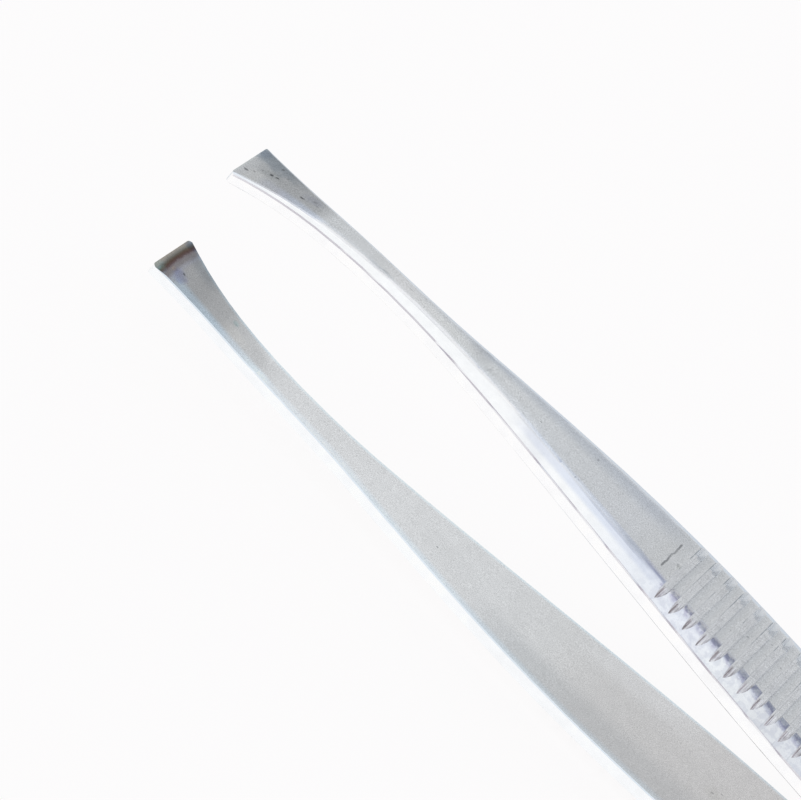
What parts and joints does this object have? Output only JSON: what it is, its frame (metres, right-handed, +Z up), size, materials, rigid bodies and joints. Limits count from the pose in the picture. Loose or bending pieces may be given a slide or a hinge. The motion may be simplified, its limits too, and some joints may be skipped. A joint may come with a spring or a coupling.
{
  "type": "straight tweezers",
  "caption": "Straight tweezers with flared, square-cut tips and cross-grooved grips: sprung steel arms, bevelled outside, flat inside, welded face to face at the heel.",
  "frame": {"origin": "on the surface the tweezers lie on, under the middle of the grip face of the lower arm", "axes": "+X along the tool from the tips to the heel, +Y across the arms, +Z up from the surface it lies on, which is the grip face of the lower arm"},
  "size_m": [0.0942, 0.0098, 0.0138],
  "materials": {
    "arm_steel": "polished stainless steel gone slightly dull, with stains and small pits at the tips",
    "weld_steel": "weld ground flush, slightly duller than the arms"
  },
  "bodies": {
    "root": {"upper_arm": "arm_steel", "lower_arm": "arm_steel", "heel_weld": "weld_steel"}
  },
  "joints": []
}
